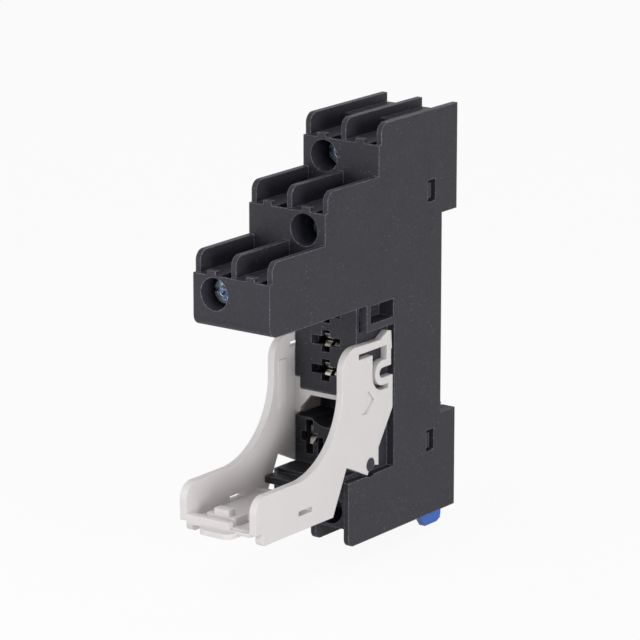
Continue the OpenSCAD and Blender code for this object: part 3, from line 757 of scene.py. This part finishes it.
@dataclass
class SpringFork:
    """A stamped fork whose curved leaves close on a relay's blade and flare at the mouth."""

    terminal: Terminal
    thickness: float = 0.25 * MM
    root: float = 1.3 * MM
    flare: float = 0.75 * MM
    grip: float = 0.15 * MM
    web: float = 0.35 * MM
    root_inset: float = 0.1 * MM
    curl: float = 1.5
    crease: float = 40.0
    steps: int = 9

    def leaves(self) -> list[Leaf]:
        """Lists the fork's leaves: two at the coil, three at a contact.

        Returns:
            The leaves, sizes in metres.
        """
        if self.terminal in (Terminal.COIL_LEFT, Terminal.COIL_RIGHT):
            return [
                Leaf(x=0.0, width=1.35 * MM, side=1, mouth=1.9 * MM, reach=0.55 * MM, point=0.1),
                Leaf(x=0.0, width=1.45 * MM, side=-1, mouth=1.4 * MM, reach=0.5 * MM, point=0.45),
            ]
        return [
            Leaf(x=0.0, width=1.4 * MM, side=1, mouth=1.2 * MM, reach=0.5 * MM, point=0.85),
            Leaf(x=0.0, width=1.4 * MM, side=-1, mouth=0.95 * MM, reach=0.6 * MM, point=0.8),
            Leaf(x=1.95 * MM, width=1.2 * MM, side=-1, mouth=0.95 * MM, reach=0.6 * MM, point=0.95),
        ]

    def line(self, leaf: Leaf, length: float) -> list[tuple[float, float, float]]:
        """Gives a leaf's inner line as depth, height above the blade and share of its flare.

        Args:
            leaf: The leaf.
            length: From its root to its mouth.

        Returns:
            The points, root first.
        """
        points = []
        for step in range(self.steps):
            share = step / self.steps
            ease = 0.5 - 0.5 * math.cos(math.pi * share)
            points.append((share * (length - self.flare), self.root + (self.grip - self.root) * ease, 0.0))
        for step in range(self.steps + 1):
            share = step / self.steps
            rise = (leaf.mouth - self.grip) * share ** self.curl
            points.append((length - self.flare * (1 - share), self.grip + rise, share))
        return points

    def strip(self, mesh: bmesh.types.BMesh, leaf: Leaf, centre: Vector, back: float,
              front: float) -> None:
        """Adds one closed leaf to a mesh.

        Args:
            mesh: The mesh to add to.
            leaf: The leaf.
            centre: The fork's centre on its axis.
            back: Depth of the root along Y.
            front: Depth of the mouth along Y.
        """
        points = self.line(leaf, back - front)
        rings = []
        for index, (depth, height, share) in enumerate(points):
            low, high = points[max(index - 1, 0)], points[min(index + 1, len(points) - 1)]
            along = Vector((high[0] - low[0], high[1] - low[1])).normalized()
            half = leaf.width * (1 + (leaf.point - 1) * share) / 2
            ring = []
            for x, lift in ((-half, 0.0), (half, 0.0), (half, self.thickness), (-half, self.thickness)):
                place = Vector((centre.x + leaf.x + x, back - depth + along.y * lift,
                                centre.z + leaf.side * (height + along.x * lift)))
                ring.append(mesh.verts.new(place))
            rings.append(ring)
        for low, high in zip(rings, rings[1:]):
            for side in range(4):
                after = (side + 1) % 4
                mesh.faces.new((low[side], low[after], high[after], high[side]))
        mesh.faces.new(rings[0][::-1])
        mesh.faces.new(rings[-1])

    def build(self, finishes: Finishes) -> bpy.types.Object:
        """Builds the fork where its CAD node stands.

        Args:
            finishes: The socket's finishes.

        Returns:
            The fork, riding on the socket's base.
        """
        node = f"fork_{self.terminal.value}"
        low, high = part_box(node)
        centre = (low + high) / 2
        if self.terminal not in (Terminal.COIL_LEFT, Terminal.COIL_RIGHT):
            centre.x = 0.0
        work = bmesh.new()
        for leaf in self.leaves():
            self.strip(work, leaf, centre, high.y - self.root_inset, low.y - leaf.reach)
        web = bmesh.ops.create_cube(work, size=1.0)["verts"]
        middle = (low.x + high.x) / 2
        for vertex in web:
            vertex.co = Vector((middle + vertex.co.x * (high.x - low.x),
                                high.y - self.web / 2 + vertex.co.y * self.web,
                                centre.z + vertex.co.z * 2 * (self.root + self.thickness)))
        bmesh.ops.recalc_face_normals(work, faces=work.faces)
        mesh = bpy.data.meshes.new(f"spring_fork_{self.terminal.value}")
        work.to_mesh(mesh)
        work.free()
        mesh.materials.append(finishes.fork)
        piece = bpy.data.objects.new(mesh.name, mesh)
        bpy.context.scene.collection.objects.link(piece)
        smooth_by_angle(piece, self.crease)
        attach(piece, "base")
        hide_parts(node)
        return piece


@dataclass
class SocketBody:
    """The CAD's own nodes and their finishes; mouldings, strips and cages keep their CAD shapes."""

    parts: dict[str, str] = field(default_factory=lambda: {
        "housing": "housing", "rear_cover": "cover", "rail_clip": "foot", "retaining_clip": "clip"})

    def dress(self, nodes: dict[str, bpy.types.Object], finishes: Finishes) -> None:
        """Gives every CAD node its finish.

        Args:
            nodes: The CAD nodes by name.
            finishes: The socket's finishes.
        """
        for name, piece in nodes.items():
            finish = self.parts.get(name, name.split("_")[0])
            material = getattr(finishes, finish)
            for slot in piece.material_slots:
                slot.link = "DATA"
            piece.data.materials.clear()
            piece.data.materials.append(material)
            LOG.info("dressed %s with %s", name, material.name)


@dataclass(frozen=True)
class Lamp:
    """A soft square lamp that faces the socket, sizes in metres and power in watts."""

    name: str
    at: tuple[float, float, float]
    size: float
    power: float

    def hang(self) -> None:
        """Adds the lamp to the scene."""
        data = bpy.data.lights.new(self.name, "AREA")
        data.shape = "SQUARE"
        data.size = self.size
        data.energy = self.power
        lamp = bpy.data.objects.new(self.name, data)
        lamp.location = self.at
        lamp.rotation_euler = (-Vector(self.at)).to_track_quat("-Z", "Y").to_euler()
        bpy.context.scene.collection.objects.link(lamp)


@dataclass
class Studio:
    """Pale floor, soft lamps, plain world and the camera."""

    floor_z: float
    floor_half: float = 3.0
    floor_white: float = 0.93
    floor_grey: float = 0.86
    world_strength: float = 0.32
    lens: float = 219.27
    sensor: float = 36.0
    near: float = 0.01
    camera_at: tuple[float, float, float] = (0.37277, -0.53281, 0.16895)
    pitch: float = 14.771
    yaw: float = 36.25
    lamps: tuple[Lamp, ...] = (
        Lamp("front lamp", at=(-0.05, -0.2, 0.02), size=0.06, power=0.085),
        Lamp("side lamp", at=(0.94, -0.36, 0.12), size=0.42, power=5.7),
        Lamp("top lamp", at=(0.05, -0.34, 0.84), size=0.5, power=2.0),
    )

    def build(self) -> None:
        """Builds the whole studio."""
        self.floor()
        self.world()
        for lamp in self.lamps:
            lamp.hang()
        self.camera()

    def floor(self) -> None:
        """Builds the floor, white to the camera, which keeps a soft shadow."""
        mesh = bpy.data.meshes.new("floor")
        corners = [(-1, -1), (1, -1), (1, 1), (-1, 1)]
        mesh.from_pydata([(x * self.floor_half, y * self.floor_half, self.floor_z) for x, y in corners],
                         [], [(0, 1, 2, 3)])
        floor = bpy.data.objects.new("floor", mesh)
        bpy.context.scene.collection.objects.link(floor)
        material = bpy.data.materials.new("pale floor")
        material.use_nodes = True
        writer = NodeWriter(material.node_tree)
        matt = writer.node("ShaderNodeBsdfDiffuse", Color=(self.floor_grey,) * 3 + (1.0,))
        share = writer.math("MULTIPLY", self.seen_white(writer), self.floor_white)
        self.mix(writer, share, matt, writer.node("ShaderNodeEmission", Color=WHITE),
                 "ShaderNodeOutputMaterial")
        mesh.materials.append(material)
        floor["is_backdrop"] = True

    def world(self) -> None:
        """Lights the scene evenly and shows white behind it."""
        world = bpy.data.worlds.new("studio")
        world.use_nodes = True
        writer = NodeWriter(world.node_tree)
        soft = writer.node("ShaderNodeBackground", Color=WHITE, Strength=self.world_strength)
        self.mix(writer, self.seen_white(writer), soft, writer.node("ShaderNodeBackground", Color=WHITE),
                 "ShaderNodeOutputWorld")
        bpy.context.scene.world = world

    @staticmethod
    def seen_white(writer: NodeWriter) -> bpy.types.NodeSocket:
        """Tells the rays that see the background white.

        Args:
            writer: The tree's writer.

        Returns:
            A socket that is 1 for camera, glossy and transmission rays.
        """
        path = writer.node("ShaderNodeLightPath")
        first = writer.math("MAXIMUM", path.outputs["Is Camera Ray"], path.outputs["Is Glossy Ray"])
        return writer.math("MAXIMUM", first, path.outputs["Is Transmission Ray"])

    @staticmethod
    def mix(writer: NodeWriter, share: bpy.types.NodeSocket, low: bpy.types.Node, high: bpy.types.Node,
            output: str) -> None:
        """Ends a tree in a mix of two shaders.

        Args:
            writer: The tree's writer.
            share: How much of the second shader shows.
            low: The first shader.
            high: The second shader.
            output: The type of the output node.
        """
        both = writer.node("ShaderNodeMixShader", Fac=share)
        writer.put(both.inputs[1], low.outputs[0])
        writer.put(both.inputs[2], high.outputs[0])
        writer.node(output, Surface=both.outputs[0])

    def camera(self) -> None:
        """Adds the camera and makes it the scene's own."""
        data = bpy.data.cameras.new("camera")
        data.lens = self.lens
        data.sensor_width = self.sensor
        data.clip_start = self.near
        camera = bpy.data.objects.new("camera", data)
        camera.location = self.camera_at
        camera.rotation_euler = (math.radians(90 - self.pitch), 0.0, math.radians(self.yaw))
        bpy.context.scene.collection.objects.link(camera)
        bpy.context.scene.camera = camera


def main() -> None:
    """Builds the dressed socket and its studio."""
    logging.basicConfig(level=logging.INFO, format="%(name)s: %(message)s")
    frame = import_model()
    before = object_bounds()
    bpy.context.scene.view_settings.view_transform = "Standard"
    finishes = Finishes.make()
    SocketBody().dress(frame["nodes"], finishes)
    for terminal in Terminal:
        LOG.info("built %s", ClampScrew(terminal).build(finishes).name)
        LOG.info("built %s", GripRibs(terminal).build(finishes).name)
        LOG.info("built %s", SpringFork(terminal).build(finishes).name)
    Studio(floor_z=before[0].z - FLOOR_GAP).build()


if __name__ == "__main__":
    main()
